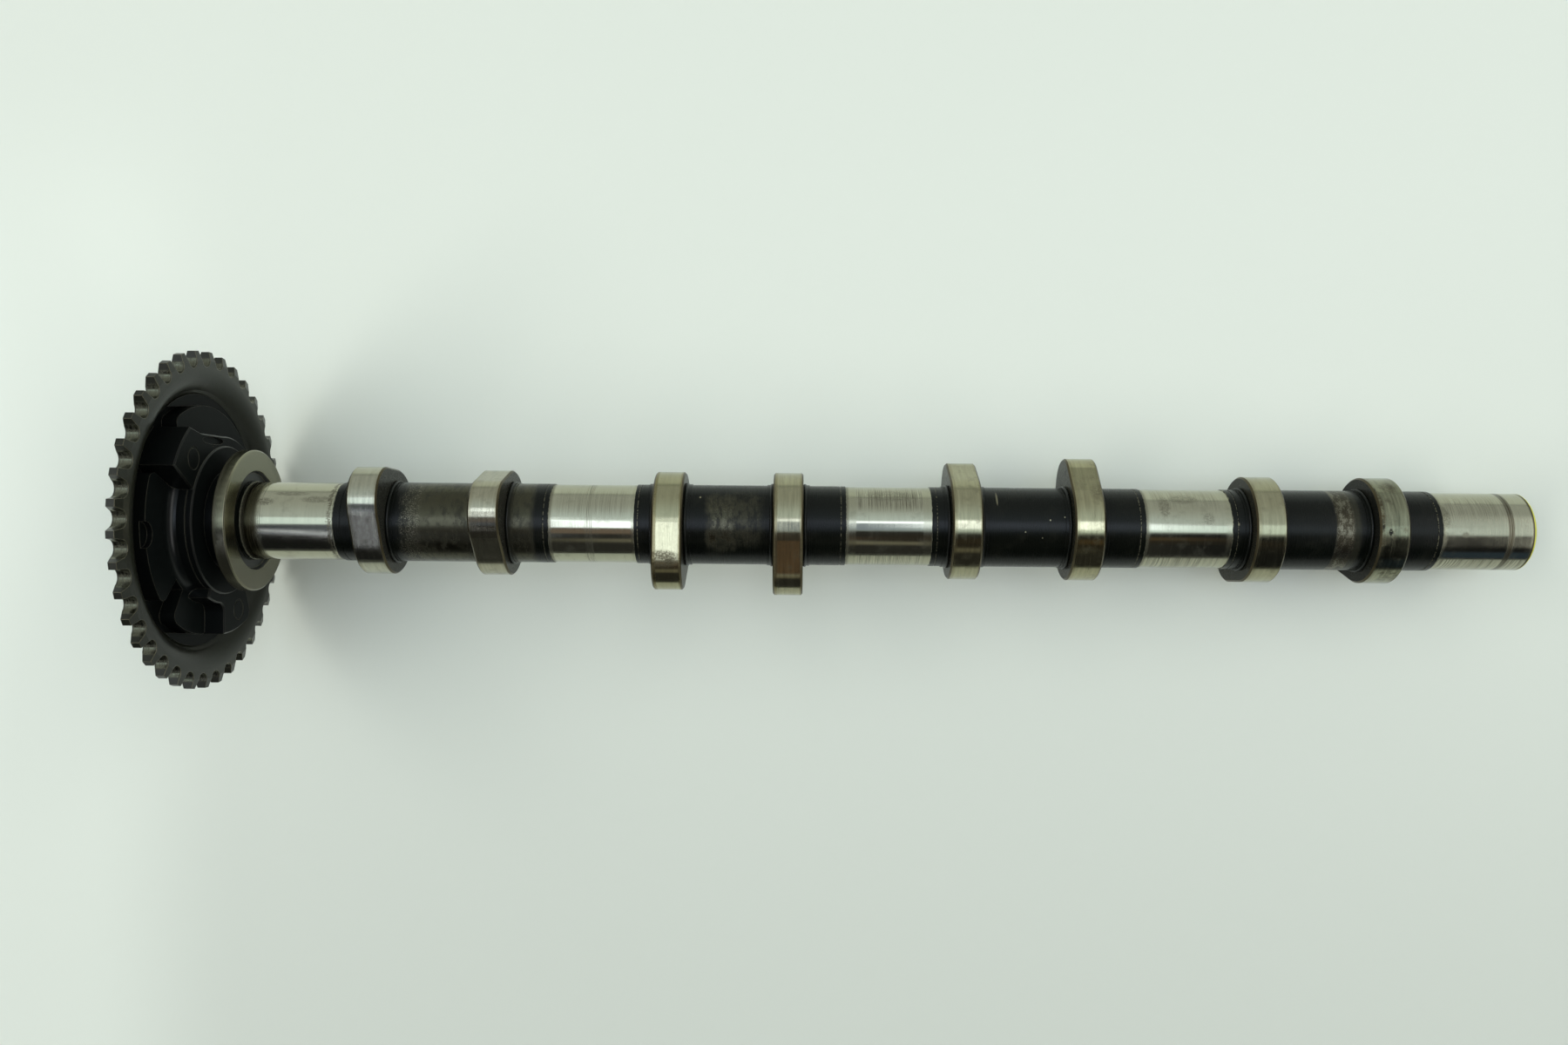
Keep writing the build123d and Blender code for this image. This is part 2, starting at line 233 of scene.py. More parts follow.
class Metal(Enum):
    """The kinds of surface on the camshaft."""

    GROUND = Look((0.45, 0.44, 0.335), 1.0, 0.11)
    HONED = Look((0.40, 0.39, 0.29), 1.0, 0.20)
    OXIDE = Look((0.0024, 0.0032, 0.0020), 0.0, 0.27)
    WORN = Look((0.072, 0.068, 0.045), 1.0, 0.24)
    SPECKLE = Look((0.17, 0.16, 0.12), 1.0, 0.30)
    RUST = Look((0.047, 0.041, 0.028), 0.9, 0.36)
    BARE = Look((0.30, 0.275, 0.18), 1.0, 0.34)
    STAIN = Look((0.048, 0.036, 0.019), 0.7, 0.32)
    TRACK = Look((0.37, 0.35, 0.235), 1.0, 0.12)
    MARGIN = Look((0.25, 0.22, 0.125), 1.0, 0.28)
    EDGE = Look((0.085, 0.070, 0.040), 0.9, 0.34)
    SIDE = Look((0.008, 0.0085, 0.0075), 0.0, 0.28)
    CHAIN = Look((0.0130, 0.0136, 0.0086), 0.1, 0.30)
    SEAT = Look((0.126, 0.125, 0.091), 1.0, 0.13)
    BLUED = Look((0.0032, 0.0039, 0.0037), 0.0, 0.32)
    MACHINED = Look((0.26, 0.25, 0.175), 1.0, 0.16)
    PAINT = Look((0.62, 0.60, 0.08), 0.0, 0.5)


class Surface:
    """A surface that is built up from looks laid over each other."""

    def __init__(self, graph: Graph, base: Look) -> None:
        """Starts with one look all over."""
        self.graph = graph
        self.colour: Input = base.colour
        self.metallic: Input = base.metallic
        self.roughness: Input = base.roughness

    def cover(self, look: Look, mask: Socket) -> None:
        """Lays a look over the surface where the mask is 1."""
        self.colour = self.graph.blend(mask, self.colour, look.colour)
        self.metallic = self._towards(self.metallic, look.metallic, mask)
        self.roughness = self._towards(self.roughness, look.roughness, mask)

    def _towards(self, old: Input, new: float, mask: Socket) -> Input:
        """A value moved towards a new one by a mask."""
        if not isinstance(old, Socket) and old == new:
            return old
        return old + mask * (new - old)

    def tone(self, factor: Socket) -> None:
        """Multiplies the colour by a value that varies over the surface."""
        grey = self.graph.joined(factor, factor, factor)
        self.colour = self.graph.blend(1.0, self.colour, grey, "MULTIPLY")

    def tint(self, colour: Colour) -> None:
        """Multiplies the colour by another all over."""
        self.colour = self.graph.blend(1.0, self.colour, colour, "MULTIPLY")

    def shade(
        self, height: Socket, depth: float, edge: float, ior: float = 1.45, coat: Input = 0.0
    ) -> None:
        """Adds the shader and the material's output.

        Args:
            height: Relief from 0 to 1.
            depth: Depth of the relief in metres.
            edge: Radius in metres by which sharp edges look rounded.
            ior: Index of refraction of the finish.
            coat: How much of an oily gloss lies over the finish.
        """
        rounded = self.graph.node("ShaderNodeBevel", {"samples": BEVEL_SAMPLES}, {"Radius": edge})
        bump = self.graph.node(
            "ShaderNodeBump",
            inputs={"Strength": 1.0, "Distance": depth, "Height": height, "Normal": rounded},
        )
        varies = isinstance(self.roughness, Socket)
        roughness = self.graph.clamped(self.roughness) if varies else self.roughness
        shader = self.graph.node(
            "ShaderNodeBsdfPrincipled",
            inputs={
                "Base Color": self.colour,
                "Metallic": self.metallic,
                "Roughness": roughness,
                "IOR": ior,
                "Coat Weight": coat,
                "Coat Roughness": COAT_ROUGHNESS,
                "Normal": bump,
            },
        )
        self.graph.node("ShaderNodeOutputMaterial", inputs={"Surface": shader})


def new_material(name: str) -> tuple[bpy.types.Material, Graph]:
    """A material with an empty node tree, and the graph to fill it."""
    material = bpy.data.materials.new(name)
    material.use_nodes = True
    return material, Graph(material.node_tree)


def edge_wear_and_highlight(graph: Graph, radius: float) -> Socket:
    """1 on sharp outer edges, fading to 0 one radius away from them."""
    rounded = graph.node("ShaderNodeBevel", {"samples": BEVEL_SAMPLES}, {"Radius": radius})
    flat = graph.node("ShaderNodeNewGeometry", output="Normal")
    pair = {0: rounded, 1: flat}
    match = graph.node("ShaderNodeVectorMath", {"operation": "DOT_PRODUCT"}, pair, "Value")
    return graph.step(1 - match, *WORN_AND_LIT_EDGE)


# ---------------------------------------------------------------- sub-assemblies
@dataclass(frozen=True)
class Band:
    """A stretch of a value with soft ends, in millimetres on the camshaft, and its strength."""

    start: float
    end: float
    strength: float = 1.0
    soft: float = 0.12

    def mask(self, graph: Graph, value: Socket) -> Socket:
        """The band's strength inside it and 0 outside."""
        return graph.band(value, self.start, self.end, self.soft) * self.strength


@dataclass(frozen=True)
class Patch:
    """An oval patch on the upper side of the shaft: middle and half sizes in millimetres."""

    x: float
    y: float
    half_x: float
    half_y: float
    strength: float = 1.0

    def mask(self, graph: Graph, x: Socket, y: Socket, z: Socket) -> Socket:
        """The patch's strength inside it on the upper side of the shaft, and 0 elsewhere."""
        along = (x - self.x) / self.half_x
        across = (y - self.y) / self.half_y
        away = graph.length(along, across)
        return (1 - graph.step(away, *PATCH_EDGE)) * graph.step(z, *UPPER_SIDE) * self.strength


@dataclass
class CamshaftTube:
    """The blacked tube with its ground journals, beads and wear."""

    node: str = "camshaft_tube"
    journals: tuple[Band, ...] = (
        Band(16.0, 43.0, soft=0.25),
        Band(106.3, 131.3, soft=0.06),
        Band(193.3, 218.3, soft=0.06),
        Band(280.3, 305.3, soft=0.06),
        Band(365.9, 394.0, soft=0.10),
    )
    running: tuple[Band, ...] = (
        Band(20.8, 42.3, soft=0.9),
        Band(107.2, 130.4, soft=0.35),
        Band(196.2, 215.8, soft=0.30),
        Band(281.6, 303.6, soft=0.70),
        Band(367.2, 391.6, soft=0.50),
    )
    worn: tuple[Band, ...] = (
        Band(66.0, 90.0, 1.0, 4.5),
        Band(95.2, 101.5, 0.9, 1.2),
        Band(339.8, 342.2, 0.40, 0.8),
    )
    speckled: Band = Band(62.8, 68.6, 1.0, 1.4)
    rusty: Band = Band(335.4, 340.3, 1.0, 0.5)
    rings: tuple[float, ...] = (104.7, 132.3, 191.7, 219.7, 278.7, 306.7, 364.4)
    ring_width: float = 0.22
    ring_soft: float = 0.06
    margin: Band = Band(-0.3, 0.7, 0.55, 0.5)
    last_line: Band = Band(384.9, 386.6, soft=0.25)
    second_line: Band = Band(116.9, 119.2, 0.55, 0.3)
    first_line: Band = Band(16.4, 22.0, 0.6, 0.8)
    free_rim: Band = Band(391.9, 394.0, 0.90, 0.2)
    scribbled_line: Band = Band(41.6, 42.3, 0.8, 0.2)
    smear: tuple[tuple[Band, Band], ...] = (
        (Band(152.9, 160.6, 1.0, 1.3), Band(-6.5, 8.0, 1.0, 2.6)),
        (Band(158.0, 168.0, 0.5, 3.0), Band(-5.0, 9.0, 1.0, 3.0)),
    )
    brown_stains_and_painted_shade: tuple[tuple[Band, Band], ...] = (
        (Band(196.4, 215.6, 0.85, 0.5), Band(5.0, 10.6, 1.0, 1.6)),
        (Band(109.0, 129.0, 0.35, 1.5), Band(2.5, 9.5, 1.0, 2.0)),
        (Band(283.0, 303.0, 0.35, 1.5), Band(6.0, 11.0, 1.0, 1.8)),
        (Band(367.0, 386.0, 0.5, 1.5), Band(3.0, 9.5, 1.0, 2.2)),
        # Lower-side bands on journals 3 to 5: painted shade, the darker reflection of the floor in the
        # shaft's shadow.
        (Band(196.0, 216.0, 0.45, 0.8), Band(-12.0, -8.2, 1.0, 0.8)),
        (Band(281.5, 303.0, 0.55, 1.0), Band(-12.0, -7.8, 1.0, 0.8)),
        (Band(367.0, 391.0, 0.70, 1.0), Band(-12.0, -8.0, 1.0, 0.9)),
    )
    stains: tuple[Patch, ...] = (
        Patch(22.5, 5.6, 3.4, 1.3, 1.0),
        Patch(30.0, 8.0, 6.0, 0.8, 0.8),
        Patch(38.0, 6.3, 6.0, 1.2, 0.8),
        Patch(206.0, 8.8, 9.0, 2.0, 0.7),
        Patch(286.0, 6.5, 2.2, 3.8, 0.9),
        Patch(292.0, 8.6, 5.5, 1.6, 0.8),
        Patch(298.5, 3.0, 2.0, 2.2, 0.7),
        Patch(372.5, -0.9, 1.3, 1.1, 1.0),
        Patch(367.2, 4.2, 1.5, 4.0, 0.9),
        Patch(366.8, -1.6, 1.3, 2.0, 0.7),
    )
    chips: tuple[Patch, ...] = (
        Patch(150.5, 8.0, 0.35, 0.30),
        Patch(245.3, -1.3, 0.25, 0.25),
        Patch(250.3, -3.0, 0.25, 0.25),
        Patch(252.5, 2.2, 0.28, 0.28),
        Patch(256.7, 3.1, 0.22, 0.28),
        Patch(237.4, 8.3, 0.35, 2.3, 0.5),
        Patch(307.0, 1.5, 0.3, 0.5, 0.6),
    )
    dull: tuple[Band, ...] = (Band(16.4, 20.6, 0.92, 0.8), Band(384.9, 386.5, 0.35, 0.3))
    fine_lines: float = 5.2
    paint_end: Range = (392.35, 392.50)
    paint_rim: Range = (9.6, 10.4)
    edge: float = 0.12 * MM
    relief: float = 0.006 * MM
    ior: float = 1.28

    def material(self) -> bpy.types.Material:
        """Builds the shaft's material."""
        material, graph = new_material("shaft_steel")
        place = graph.place()
        x, y, z = graph.parts(place)
        turned = graph.stretched(place, (self.fine_lines, 0.06, 0.06))
        lines = graph.noise(turned, 1.0, 4.0, 0.7)
        broad = graph.noise(graph.stretched(place, (0.55, 0.05, 0.05)), 1.0, 3.0)
        mottle = graph.noise(graph.stretched(place, (1.0, 0.55, 0.55)), 0.55, 6.0, 0.68)
        blotch = graph.noise(place, 0.16, 3.0)
        fine = graph.noise(place, 3.8, 3.0, 0.6)
        ragged = x + (graph.noise(place, 0.9, 3.0) - 0.5) * 0.5

        surface = Surface(graph, Metal.OXIDE.value)
        self._wear(graph, surface, (x, y, z), (mottle, blotch, fine))
        ground = graph.most(*(b.mask(graph, ragged) for b in self.journals))
        running = graph.most(*(b.mask(graph, ragged) for b in self.running))
        surface.cover(Metal.HONED.value, ground)
        surface.cover(Metal.GROUND.value, ground * running)
        dull = graph.most(*(b.mask(graph, x) for b in self.dull))
        surface.cover(Metal.WORN.value, dull)
        # The stain mask also carries painted shade on the lower side of journals 3 to 5.
        soil = self._stains_and_painted_shade(graph, (x, y, z), place, lines)
        surface.cover(Metal.STAIN.value, soil * ground)

        rings = graph.most(*(graph.band(x, r, r + self.ring_width, self.ring_soft) for r in self.rings))
        chips = graph.most(*(p.mask(graph, x, y, z) for p in self.chips))
        spotty = graph.step(graph.noise(place, 1.6, 2.0), 0.42, 0.60)
        surface.cover(Metal.BARE.value, graph.most(rings * spotty * 0.5, chips))
        surface.cover(Metal.PAINT.value, self._paint(graph, x, y, z, mottle))

        surface.tone(0.80 + lines * 0.26 + broad * 0.14)
        surface.roughness = surface.roughness + (lines - 0.5) * 0.12 + (blotch - 0.5) * 0.08
        height = lines * 0.6 + fine * 0.5 * (1 - ground)
        surface.shade(height, self.relief, self.edge, self.ior)
        return material

    def _wear(
        self,
        graph: Graph,
        surface: Surface,
        at: tuple[Socket, Socket, Socket],
        grain: tuple[Socket, Socket, Socket],
    ) -> None:
        """Lays the worn, speckled and rusty places over the blacking.

        Args:
            graph: The material's graph.
            surface: The surface to lay them on.
            at: Place along the three axes in millimetres.
            grain: Mottle, blotch and fine noise.
        """
        x, y, z = at
        mottle, blotch, fine = grain
        worn = graph.most(*(b.mask(graph, x) for b in self.worn))
        worn = worn * (0.45 + graph.step(mottle, 0.30, 0.58) * 0.55)
        smear = self._zones(graph, (x + (blotch - 0.5) * 4.0, y, z), self.smear)
        smear = smear * (0.22 + graph.step(mottle, 0.40, 0.60) * 0.78)
        dust = graph.step(blotch, 0.50, 0.80) * 0.07
        surface.cover(Metal.WORN.value, graph.most(worn, smear, dust))
        speckle = self.speckled.mask(graph, x + (mottle - 0.5) * 3.0)
        speckle = speckle * graph.step(fine, 0.50, 0.62) * graph.step(mottle, 0.36, 0.54)
        bright = smear * graph.step(fine, 0.54, 0.66) * 0.6
        surface.cover(Metal.SPECKLE.value, graph.most(speckle, bright))
        rust = self.rusty.mask(graph, x + (fine - 0.5) * 0.8)
        surface.cover(Metal.RUST.value, rust)
        grains = graph.step(mottle * 0.6 + fine * 0.4, 0.49, 0.56)
        surface.cover(Metal.SPECKLE.value, rust * grains)

    def _stains_and_painted_shade(
        self, graph: Graph, at: tuple[Socket, Socket, Socket], place: Socket, lines: Socket
    ) -> Socket:
        """Brown stains on the journals: wear lines all round, margins and oval patches, with painted
        shade as brown bands on the lower side of journals 3 to 5.
        """
        x, y, z = at
        scribble = graph.noise(graph.stretched(place, (0.7, 1.6, 1.6)), 1.4, 5.0, 0.75)
        thread = 1 - graph.step(abs(scribble - 0.5), 0.010, 0.045)
        patches = graph.most(*(p.mask(graph, x, y, z) for p in self.stains))
        ovals = patches * graph.most(thread, graph.step(scribble, 0.52, 0.66) * 0.6)
        margins = [self.margin.mask(graph, x - b.start) for b in self.journals]
        wear = [
            self.last_line.mask(graph, x) * (0.45 + graph.step(lines, 0.42, 0.6) * 0.5),
            self.second_line.mask(graph, x) * graph.step(lines, 0.45, 0.6),
            self.first_line.mask(graph, x) * graph.step(lines, 0.46, 0.62),
            self.free_rim.mask(graph, x),
            self.scribbled_line.mask(graph, x + (scribble - 0.5) * 6.0),
        ]
        brown_and_painted_shade = self._zones(graph, at, self.brown_stains_and_painted_shade) * graph.step(lines, 0.42, 0.62)
        uneven = graph.noise(graph.stretched(place, (0.9, 0.12, 0.12)), 1.0, 2.0)
        partial = graph.step(uneven, 0.46, 0.60)
        streaks = graph.step(lines, 0.60, 0.72) * partial * 0.6
        haze = graph.step(graph.noise(place, 0.22, 4.0, 0.6), 0.52, 0.75) * 0.20
        return graph.most(ovals, *margins, *wear, brown_and_painted_shade, streaks, haze)

    def _zones(
        self, graph: Graph, at: tuple[Socket, Socket, Socket], zones: tuple[tuple[Band, Band], ...]
    ) -> Socket:
        """Bands along the shaft, each kept to a band across its upper side."""
        x, y, z = at
        return graph.most(*(
            along.mask(graph, x) * across.mask(graph, y) * graph.step(z, *UPPER_SIDE)
            for along, across in zones
        ))

    def _paint(self, graph: Graph, x: Socket, y: Socket, z: Socket, mottle: Socket) -> Socket:
        """Trace of yellow paint on the free end's edge."""
        away = graph.length(y, z)
        rim = graph.step(x, *self.paint_end) * graph.step(away, *self.paint_rim)
        return rim * graph.step(mottle, 0.24, 0.34)

    def dress(self, nodes: dict[str, bpy.types.Object]) -> None:
        """Gives the tube its material."""
        set_material(nodes[self.node], self.material())


@dataclass(frozen=True)
class LobeWear:
    """How one lobe differs from the others."""

    soil: float = 0.25
    tint: Colour = (1.0, 1.0, 1.0)
    scratch: float = 0.25
    ripple: float = 0.10
    margin: float = 0.45
    # darkened patches: stains on some lobes, painted shade on another
    dull: tuple[Patch, ...] = ()
    pits: tuple[Patch, ...] = ()
    marks: tuple[tuple[float, float], ...] = ()


@dataclass
class CamLobes:
    """The eight lobes: ground rims with a polished track, and dark sides."""

    name: str = "cam_lobe"
    track: Range = (-3.1, 3.5)
    track_soft: float = 0.28
    mark_half: tuple[float, float] = (0.75, 1.25)
    bevel: float = 0.5
    pattern_shift: float = 31.0
    edge: float = 0.16 * MM
    relief: float = 0.008 * MM
    ior: float = 1.2
    wear: tuple[LobeWear, ...] = (
        LobeWear(0.25, (1.14, 1.18, 1.38), 0.35, 0.12, 0.35),
        LobeWear(0.40, (1.05, 1.05, 1.16), 0.45, 0.16, 0.35),
        # Lobe 3's patch low on the flank is painted shade, where the lamp's reflection ends.
        LobeWear(0.15, (0.98, 0.98, 0.93), 0.30, 0.08, 1.0, (Patch(140.0, -9.9, 7.0, 3.0, 0.8),)),
        LobeWear(0.20, (1.00, 1.00, 1.00), 0.55, 0.18, 0.8),
        LobeWear(0.40, (1.00, 1.00, 0.98), 0.65, 0.14, 0.5, marks=((16.0, -1.6), (14.6, -6.2))),
        LobeWear(
            0.45, (1.00, 0.99, 0.93), 0.85, 0.18, 0.4,
            (Patch(267.5, 10.5, 4.5, 3.5, 0.55),),
            marks=((16.4, 1.6), (17.6, 6.3)),
        ),
        LobeWear(0.35, (1.00, 1.00, 1.00), 0.50, 0.14, 0.4),
        LobeWear(
            1.0, (0.66, 0.70, 0.72), 1.0, 0.38, 0.3,
            (
                Patch(346.3, 6.0, 1.6, 9.0, 0.9),
                Patch(346.8, -2.6, 2.6, 2.2, 0.7),
                Patch(351.0, 12.5, 3.0, 2.0, 0.6),
            ),
            pits=(
                Patch(348.9, -0.4, 0.8, 1.3),
                Patch(346.6, 1.6, 0.7, 2.4, 0.8),
                Patch(346.4, 12.0, 0.5, 0.8),
            ),
        ),
    )

    def material(self, number: int, wear: LobeWear) -> bpy.types.Material:
        """Builds one lobe's material.

        Args:
            number: The lobe's number, from 1 at the sprocket.
            wear: How this lobe differs.

        Returns:
            The material.
        """
        material, graph = new_material(f"lobe_steel_{number}")
        low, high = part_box(f"{self.name}_{number}")
        middle = (low.x + high.x) / 2 / MM
        half = (high.x - low.x) / 2 / MM
        place = graph.place()
        x, y, z = graph.parts(place)
        shift = (self.pattern_shift * number, 0, 0)
        shifted = graph.node("ShaderNodeVectorMath", {"operation": "ADD"}, {0: place, 1: shift})
        offset = x - middle
        lines = graph.noise(graph.stretched(shifted, (5.0, 0.07, 0.07)), 1.0, 4.0, 0.7)
        waves = graph.noise(graph.stretched(shifted, (1.3, 0.10, 0.10)), 1.0, 2.0, 0.5)
        cloud = graph.noise(shifted, 0.30, 4.0, 0.6)
        grain = graph.noise(shifted, 2.2, 3.0, 0.6)

        surface = Surface(graph, Metal.MARGIN.value)
        wander = offset + (cloud - 0.5) * 0.6
        off_track = 1 - graph.band(wander, *self.track, self.track_soft)
        surface.cover(Metal.TRACK.value, 1 - off_track * wear.margin)
        surface.tone(0.86 + lines * 0.22 + (waves - 0.5) * (wear.ripple * 4) + cloud * 0.08)
        surface.tint(wear.tint)
        uneven = graph.noise(graph.stretched(shifted, (0.8, 0.14, 0.14)), 1.0, 2.0)
        patchy = graph.step(uneven, 0.44, 0.60)
        scuffs = graph.step(lines, 0.58, 0.70) * patchy * wear.scratch
        soil = graph.step(cloud, 0.50, 0.78) * wear.soil
        surface.cover(Metal.STAIN.value, graph.most(scuffs, soil * 0.8))
        # Darkened patches: stains on lobes 6 and 8, painted shade on lobe 3.
        if wear.dull:
            rough = graph.step(cloud * 0.5 + grain * 0.5, 0.40, 0.56)
            lobe_stains_and_painted_shade = graph.most(*(p.mask(graph, x, y, z) for p in wear.dull))
            surface.cover(Metal.STAIN.value, lobe_stains_and_painted_shade * (0.35 + rough * 0.65))
        if wear.pits:
            pitted = graph.most(*(p.mask(graph, x, y, z) for p in wear.pits))
            surface.cover(Metal.SIDE.value, pitted * graph.step(grain, 0.38, 0.52))

        lean = abs(graph.facing())
        side = graph.step(lean, *END_FACE)
        shoulder = graph.step(abs(offset), half - self.bevel - 0.08, half - self.bevel + 0.08)
        surface.cover(Metal.EDGE.value, shoulder * (1 - side))
        surface.cover(Metal.SIDE.value, side * (0.90 + grain * 0.1))
        marks = self._marks(graph, y, z, offset, wear) * side if wear.marks else side * 0.0
        surface.cover(Metal.OXIDE.value, marks)
        surface.roughness = surface.roughness + (lines - 0.5) * 0.12 + (grain - 0.5) * 0.05
        height = lines * (1 - side) + grain * side * 1.6 - marks * 14.0
        surface.shade(height, self.relief, self.edge, self.ior)
        return material

    def _marks(self, graph: Graph, y: Socket, z: Socket, offset: Socket, wear: LobeWear) -> Socket:
        """Plain punched marks on the side that faces the sprocket."""
        half_y, half_z = self.mark_half
        found = []
        for mark_y, mark_z in wear.marks:
            across, along = (y - mark_y) / half_y, (z - mark_z) / half_z
            away = graph.length(across, along)
            found.append(1 - graph.step(away, 0.8, 1.0))
        return graph.most(*found) * graph.step(-offset, 0.0, 1.0)

    def dress(self, nodes: dict[str, bpy.types.Object]) -> None:
        """Gives each lobe its own material."""
        for number, wear in enumerate(self.wear, start=1):
            set_material(nodes[f"{self.name}_{number}"], self.material(number, wear))


@dataclass
class ThrustRing:
    """The machined ring beside the first journal."""

    node: str = "thrust_ring"
    recess: float = 15.0
    heel: Band = Band(12.1, 13.3, 0.50, 0.3)
    # How far below the axis, in millimetres, the painted shade on the lower side fades in.
    painted_shade_side: Range = (2.0, 17.0)
    edge: float = 0.3 * MM
    relief: float = 0.010 * MM

    def material(self) -> bpy.types.Material:
        """Builds the ring's material: fine turned grooves, a dark recess, bright edges and painted
        shade on its lower side.
        """
        material, graph = new_material("ground_ring")
        place = graph.place()
        x, y, z = graph.parts(place)
        away = graph.length(y, z)
        grooves = graph.noise(graph.joined(away * 7.0, x * 7.0, 0.0), 1.0, 3.0, 0.7)
        cloud = graph.noise(place, 0.12, 3.0)
        surface = Surface(graph, Metal.MACHINED.value)
        surface.tone(0.86 + grooves * 0.18 + cloud * 0.10)
        heel = self.heel.mask(graph, x)
        patches = graph.step(cloud, 0.50, 0.80) * 0.25
        # Stains and a stained heel, with painted shade: the lower side is darkened as if it reflected
        # the shadowed floor.
        ring_stains_and_painted_shade = graph.most(patches, heel, graph.step(-y, *self.painted_shade_side) * 0.45)
        surface.cover(Metal.STAIN.value, ring_stains_and_painted_shade)
        recess = 1 - graph.step(away, self.recess - 0.3, self.recess)
        surface.cover(Metal.BLUED.value, recess * 0.97)
        # Bare metal on sharp edges: real wear, and painted highlight where the edges would catch the
        # light.
        surface.cover(Metal.BARE.value, edge_wear_and_highlight(graph, self.edge) * 0.8)
        surface.roughness = surface.roughness + (grooves - 0.5) * 0.12
        surface.shade(grooves, self.relief, self.edge)
        return material

    def dress(self, nodes: dict[str, bpy.types.Object]) -> None:
        """Gives the ring its material."""
        set_material(nodes[self.node], self.material())


@dataclass
class ChainRing:
    """The dark chain ring with its worn tooth gaps."""

    node: str = "sprocket_ring"
    gap_floor: float = 44.4
    seat_top: float = 48.6
    half_thickness: float = 1.95
    edge: float = 0.30 * MM
    relief: float = 0.014 * MM
    ior: float = 1.38

    def material(self) -> bpy.types.Material:
        """Builds the chain ring's material."""
        material, graph = new_material("sprocket_steel")
        place = graph.place()
        x, y, z = graph.parts(place)
        away = graph.length(y, z)
        lean = abs(graph.facing())
        mottle = graph.noise(place, 0.7, 4.0, 0.6)
        patchy = graph.noise(graph.stretched(place, (1.6, 0.5, 0.5)), 1.0, 4.0, 0.6)
        fine = graph.noise(place, 3.0, 3.0, 0.6)
        surface = Surface(graph, Metal.CHAIN.value)
        surface.tone(0.80 + mottle * 0.4)
        seat = graph.band(away, self.gap_floor - 0.3, self.seat_top, 0.35)
        seat = seat * (1 - graph.step(lean, 0.15, 0.35))
        seat = seat * (1 - graph.step(abs(x), self.half_thickness - 0.55, self.half_thickness - 0.1))
        surface.cover(Metal.SEAT.value, seat * (0.55 + graph.step(patchy, 0.36, 0.60) * 0.45))
        teeth = graph.step(away, self.gap_floor, self.gap_floor + 1.0)
        # Bare metal on sharp edges, most on the teeth: real wear, and painted highlight where the edges
        # would catch the light.
        surface.cover(Metal.BARE.value, edge_wear_and_highlight(graph, self.edge) * (0.10 + teeth * 0.50))
        surface.roughness = surface.roughness + (fine - 0.5) * 0.14
        surface.shade(fine, self.relief, self.edge, self.ior)
        return material

    def dress(self, nodes: dict[str, bpy.types.Object]) -> None:
        """Gives the chain ring its material."""
        set_material(nodes[self.node], self.material())


@dataclass
class SprocketHub:
    """The blued hub inside the chain ring."""

    node: str = "sprocket_hub"
    # Painted light on the hub's end faces: where it starts along the shaft, and how much lighter.
    painted_face_light_start: Range = (-0.8, 0.3)
    painted_face_light: float = 1.6
    gloss: float = 0.45
    edge: float = 0.25 * MM
    relief: float = 0.012 * MM
    ior: float = 1.1

    def material(self) -> bpy.types.Material:
        """Builds the hub's material."""
        material, graph = new_material("blued_hub")
        place = graph.place()
        x, _, _ = graph.parts(place)
        lean = graph.facing()
        mottle = graph.noise(place, 0.45, 4.0, 0.6)
        fine = graph.noise(place, 2.6, 3.0, 0.6)
        surface = Surface(graph, Metal.BLUED.value)
        # Painted light: end faces turned to the free end are lighter, a painted reflection of the pale
        # floor; those down in the pocket stay dark as painted shade.
        face = graph.step(lean, *END_FACE) * graph.step(x, *self.painted_face_light_start)
        surface.tone((0.75 + mottle * 0.5) * (1 + face * (self.painted_face_light - 1)))
        # Light speckle on sharp edges: real wear, and painted highlight where the edges would catch the
        # light.
        surface.cover(Metal.SPECKLE.value, edge_wear_and_highlight(graph, self.edge) * 0.40)
        surface.roughness = surface.roughness + (fine - 0.5) * 0.10 + (mottle - 0.5) * 0.10
        gloss = (1 - graph.step(abs(lean), *END_FACE)) * self.gloss
        surface.shade(fine, self.relief, self.edge, self.ior, gloss)
        return material

    def dress(self, nodes: dict[str, bpy.types.Object]) -> None:
        """Gives the hub its material."""
        set_material(nodes[self.node], self.material())


def set_material(piece: bpy.types.Object, material: bpy.types.Material) -> None:
    """Puts one material in all of a piece's slots, and reports the piece."""
    for slot in piece.material_slots:
        slot.material = material
    log.info("%s: %s, %d faces", piece.name, material.name, len(piece.data.polygons))


# ---------------------------------------------------------------- studio
@dataclass(frozen=True)
class Glow:
    """A soft-edged area of the surroundings that is lighter or darker than the rest.

    The first two values are the area's middle and half width along the shaft, as the cosine of
    the angle to it. The next two are the same round the shaft, as the sine of the angle from
    straight up, positive on the side of the pale wall.
    """

    along: float
    half_along: float
    around: float
    half_around: float
    colour: Colour
    soft: float = 0.03
    slant: float = 0.0

    def mask(self, graph: Graph, along: Socket, around: Socket) -> Socket:
        """1 inside the area and 0 outside."""
        near = graph.band(along, self.along - self.half_along, self.along + self.half_along, self.soft)
        shifted = around - (along - self.along) * self.slant if self.slant else around
        low, high = self.around - self.half_around, self.around + self.half_around
        return near * graph.band(shifted, low, high, min(self.soft, self.half_around))


